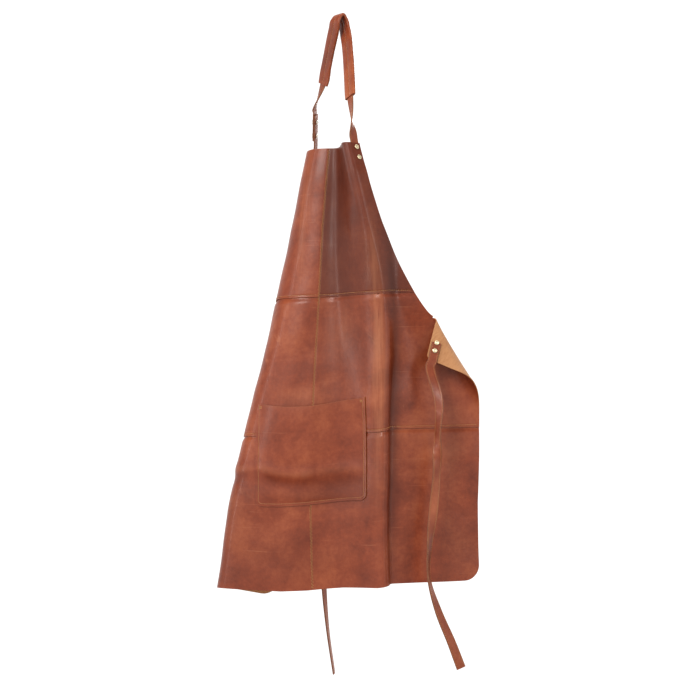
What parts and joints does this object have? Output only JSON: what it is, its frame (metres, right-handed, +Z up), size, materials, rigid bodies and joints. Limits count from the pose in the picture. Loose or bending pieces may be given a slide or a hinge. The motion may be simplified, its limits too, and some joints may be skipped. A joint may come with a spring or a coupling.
{
  "type": "butcher apron",
  "caption": "Leather bib apron hanging by its padded neck strap, with a stitched front pocket, riveted strap ends and two waist ties.",
  "frame": {"origin": "point under the neck pad where the loop rests on its hook", "axes": "+Z up, -Y towards the front (grain side) of the hanging apron, +X to the right as seen from the front"},
  "size_m": [0.508, 0.3765, 1.3264],
  "materials": {
    "hide": "pull-up leather, satin, mottled red brown",
    "pocket_hide": "pull-up leather, satin",
    "strap_leather": "edge-stitched strap leather",
    "pad_leather": "soft folded leather",
    "pale_brass": "polished pale brass rivets",
    "nickel": "nickel-plated press studs"
  },
  "bodies": {
    "neck_loop": {"neck_pad": "pad_leather", "neck_strap": "strap_leather", "neck_tab": "strap_leather", "press_stud_1_cap": "nickel", "press_stud_1_socket": "nickel", "press_stud_2_cap": "nickel", "press_stud_2_socket": "nickel"},
    "apron": {"bib_panel_left": "hide", "bib_panel_right": "hide", "waist_panel_left": "hide", "waist_panel_right": "hide", "skirt_panel_left": "hide", "skirt_panel_right": "hide", "pocket": "pocket_hide", "neck_strap_end": "strap_leather", "neck_tab_end": "strap_leather", "waist_tie_left_end": "strap_leather", "waist_tie_right_end": "strap_leather", "bib_left_rivet_1_cap": "pale_brass", "bib_left_rivet_1_back_cap": "pale_brass", "bib_left_rivet_2_cap": "pale_brass", "bib_left_rivet_2_back_cap": "pale_brass", "bib_right_rivet_1_cap": "pale_brass", "bib_right_rivet_1_back_cap": "pale_brass", "bib_right_rivet_2_cap": "pale_brass", "bib_right_rivet_2_back_cap": "pale_brass", "waist_left_rivet_1_cap": "pale_brass", "waist_left_rivet_1_back_cap": "pale_brass", "waist_left_rivet_2_cap": "pale_brass", "waist_left_rivet_2_back_cap": "pale_brass", "waist_right_rivet_1_cap": "pale_brass", "waist_right_rivet_1_back_cap": "pale_brass", "waist_right_rivet_2_cap": "pale_brass", "waist_right_rivet_2_back_cap": "pale_brass"},
    "tie_right": {"waist_tie_right": "strap_leather"},
    "tie_left": {"waist_tie_left": "strap_leather"}
  },
  "joints": [
    {"name": "bib_swing", "type": "hinge", "parent": "neck_loop", "child": "apron", "pos_m": [-0.0592, 0.0938, -0.2603], "axis": [0.4441, -0.8922, 0.0823], "range_deg": [-14, 14]},
    {"name": "tie_right_swing", "type": "hinge", "parent": "apron", "child": "tie_right", "pos_m": [0.1688, -0.0573, -0.6654], "axis": [-0.9675, -0.0344, 0.2506], "range_deg": [0, 70]},
    {"name": "tie_left_swing", "type": "hinge", "parent": "apron", "child": "tie_left", "pos_m": [-0.0474, 0.265, -0.7615], "axis": [0.6508, 0.7593, 0], "range_deg": [-20, 30]}
  ]
}
